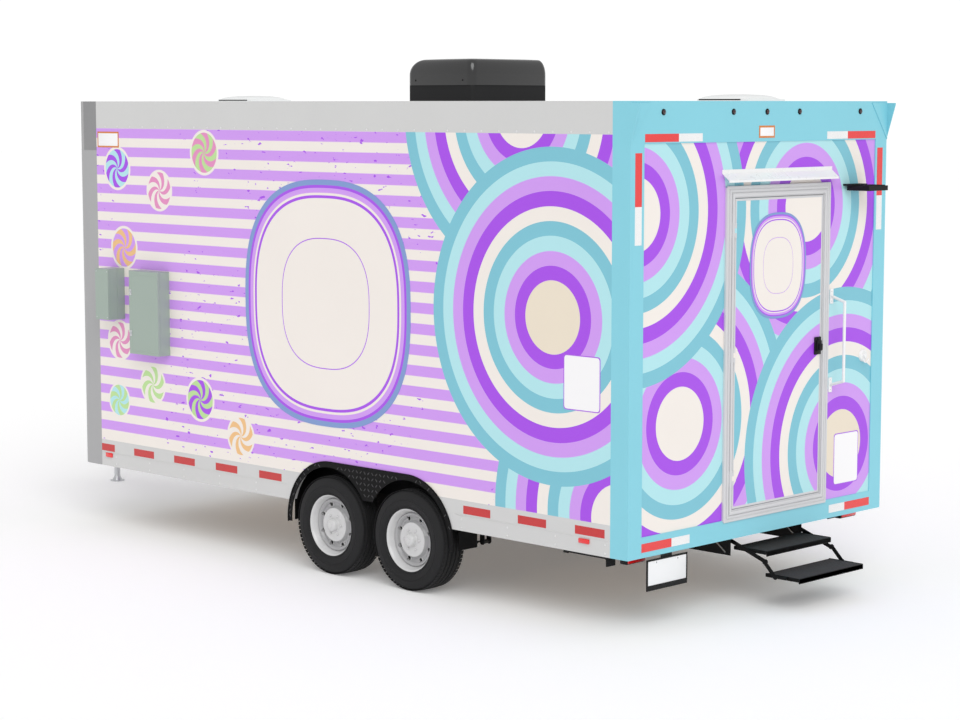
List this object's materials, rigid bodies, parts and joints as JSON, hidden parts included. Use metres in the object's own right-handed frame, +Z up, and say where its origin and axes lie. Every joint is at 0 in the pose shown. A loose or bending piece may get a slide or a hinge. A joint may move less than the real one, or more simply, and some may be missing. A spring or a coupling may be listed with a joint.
{
  "type": "tandem-axle food trailer",
  "caption": "White-railed food trailer with a striped and ringed purple wrap, rear door, serving hatch and fold-out steps.",
  "frame": {"origin": "on the ground under the middle of the trailer's bounding box", "axes": "+X forward to the tongue, +Y to the trailer's left, +Z up"},
  "size_m": [7.461, 2.776, 3.47],
  "materials": {
    "frame_paint": "satin",
    "wall_wrap": "satin",
    "rail_paint": "satin",
    "post_paint": "satin",
    "white_paint": "satin",
    "black_paint": "satin",
    "chassis_paint": "satin",
    "box_paint": "satin",
    "door_trim": "satin",
    "jack_metal": "satin",
    "wheel_steel": "satin",
    "tyre_rubber": "matte",
    "floor_board": "matte",
    "glass": "gloss",
    "black_plastic": "matte",
    "white_plastic": "satin",
    "lamp_lens": "gloss"
  },
  "bodies": {
    "trailer": {"chassis_frame": "chassis_paint", "coupler": "chassis_paint", "floor_deck": "floor_board", "left_wall": "wall_wrap", "right_wall": "wall_wrap", "front_wall": "rail_paint", "rear_wall": "wall_wrap", "rear_frame": "frame_paint", "roof_panel": "white_paint", "top_rails": "rail_paint", "bottom_rails": "rail_paint", "front_corner_posts": "post_paint", "door_frame": "door_trim", "drip_hood": "white_paint", "grab_handle": "white_paint", "floodlight": "black_plastic", "serving_window": "door_trim", "serving_glass": "glass", "fenders": "black_paint", "front_axle": "chassis_paint", "rear_axle": "chassis_paint", "leaf_springs": "chassis_paint", "spring_hangers": "chassis_paint", "stabiliser_mounts": "chassis_paint", "step_mount": "black_paint", "jack_tube": "chassis_paint", "power_boxes": "box_paint", "air_conditioner": "black_plastic", "roof_vents": "white_plastic", "tail_lights": "lamp_lens", "licence_plate": "white_paint"},
    "rear_door": {"rear_door": "wall_wrap", "door_handle": "black_plastic"},
    "serving_hatch": {"serving_hatch": "wall_wrap"},
    "serving_shelf": {"serving_shelf": "door_trim"},
    "upper_step": {"upper_step": "black_paint"},
    "lower_step": {"lower_step": "black_paint"},
    "jack_leg": {"jack_leg": "jack_metal"},
    "stabiliser_left": {"stabiliser_left": "black_paint"},
    "stabiliser_right": {"stabiliser_right": "black_paint"},
    "power_box_door": {"power_box_door": "box_paint"},
    "front_vent_lid": {"front_vent_lid": "white_plastic"},
    "rear_vent_lid": {"rear_vent_lid": "white_plastic"},
    "wheel_front_left": {"tyre_front_left": "tyre_rubber", "rim_front_left": "wheel_steel"},
    "wheel_front_right": {"tyre_front_right": "tyre_rubber", "rim_front_right": "wheel_steel"},
    "wheel_rear_left": {"tyre_rear_left": "tyre_rubber", "rim_rear_left": "wheel_steel"},
    "wheel_rear_right": {"tyre_rear_right": "tyre_rubber", "rim_rear_right": "wheel_steel"}
  },
  "joints": [
    {"name": "wheel_front_left_spin", "type": "hinge", "parent": "trailer", "child": "wheel_front_left", "pos_m": [-0.7505, 1.1705, 0.335], "axis": [0, 1, 0], "continuous": true},
    {"name": "wheel_front_right_spin", "type": "hinge", "parent": "trailer", "child": "wheel_front_right", "pos_m": [-0.7505, -1.2845, 0.335], "axis": [0, 1, 0], "continuous": true},
    {"name": "wheel_rear_left_spin", "type": "hinge", "parent": "trailer", "child": "wheel_rear_left", "pos_m": [-1.5105, 1.1705, 0.335], "axis": [0, 1, 0], "continuous": true},
    {"name": "wheel_rear_right_spin", "type": "hinge", "parent": "trailer", "child": "wheel_rear_right", "pos_m": [-1.5105, -1.2845, 0.335], "axis": [0, 1, 0], "continuous": true},
    {"name": "rear_door_hinge", "type": "hinge", "parent": "trailer", "child": "rear_door", "pos_m": [-3.3895, 0.2625, 0.643], "axis": [0, 0, -1], "range_deg": [0, 170]},
    {"name": "serving_hatch_hinge", "type": "hinge", "parent": "trailer", "child": "serving_hatch", "pos_m": [-0.1255, -1.36, 2.5], "axis": [-1, 0, 0], "range_deg": [0, 95]},
    {"name": "serving_shelf_hinge", "type": "hinge", "parent": "trailer", "child": "serving_shelf", "pos_m": [-0.1255, -1.36, 1.455], "axis": [-1, 0, 0], "range_deg": [0, 90]},
    {"name": "upper_step_fold", "type": "hinge", "parent": "trailer", "child": "upper_step", "pos_m": [-3.1805, -0.327, 0.395], "axis": [0, -1, 0], "range_deg": [0, 178]},
    {"name": "lower_step_fold", "type": "hinge", "parent": "upper_step", "child": "lower_step", "pos_m": [-3.4705, -0.327, 0.2925], "axis": [0, 1, 0], "range_deg": [0, 180]},
    {"name": "jack_leg_slide", "type": "slide", "parent": "trailer", "child": "jack_leg", "axis": [0, 0, 1], "range_m": [0, 0.3]},
    {"name": "stabiliser_left_swing", "type": "hinge", "parent": "trailer", "child": "stabiliser_left", "pos_m": [-2.7555, 1.073, 0.425], "axis": [0, -1, 0], "range_deg": [0, 90]},
    {"name": "stabiliser_right_swing", "type": "hinge", "parent": "trailer", "child": "stabiliser_right", "pos_m": [-2.7555, -1.187, 0.425], "axis": [0, -1, 0], "range_deg": [0, 90]},
    {"name": "power_box_door_hinge", "type": "hinge", "parent": "trailer", "child": "power_box_door", "pos_m": [1.3525, 1.325, 1.6525], "axis": [0, 0, -1], "range_deg": [0, 140]},
    {"name": "front_vent_lid_hinge", "type": "hinge", "parent": "trailer", "child": "front_vent_lid", "pos_m": [1.7885, -0.057, 3.193], "axis": [0, 1, 0], "range_deg": [0, 60]},
    {"name": "rear_vent_lid_hinge", "type": "hinge", "parent": "trailer", "child": "rear_vent_lid", "pos_m": [-2.7475, -0.327, 3.193], "axis": [0, 1, 0], "range_deg": [0, 60]}
  ],
  "couplings": [
    {"joint": "lower_step_fold", "follows": "upper_step_fold", "ratio": 1}
  ]
}
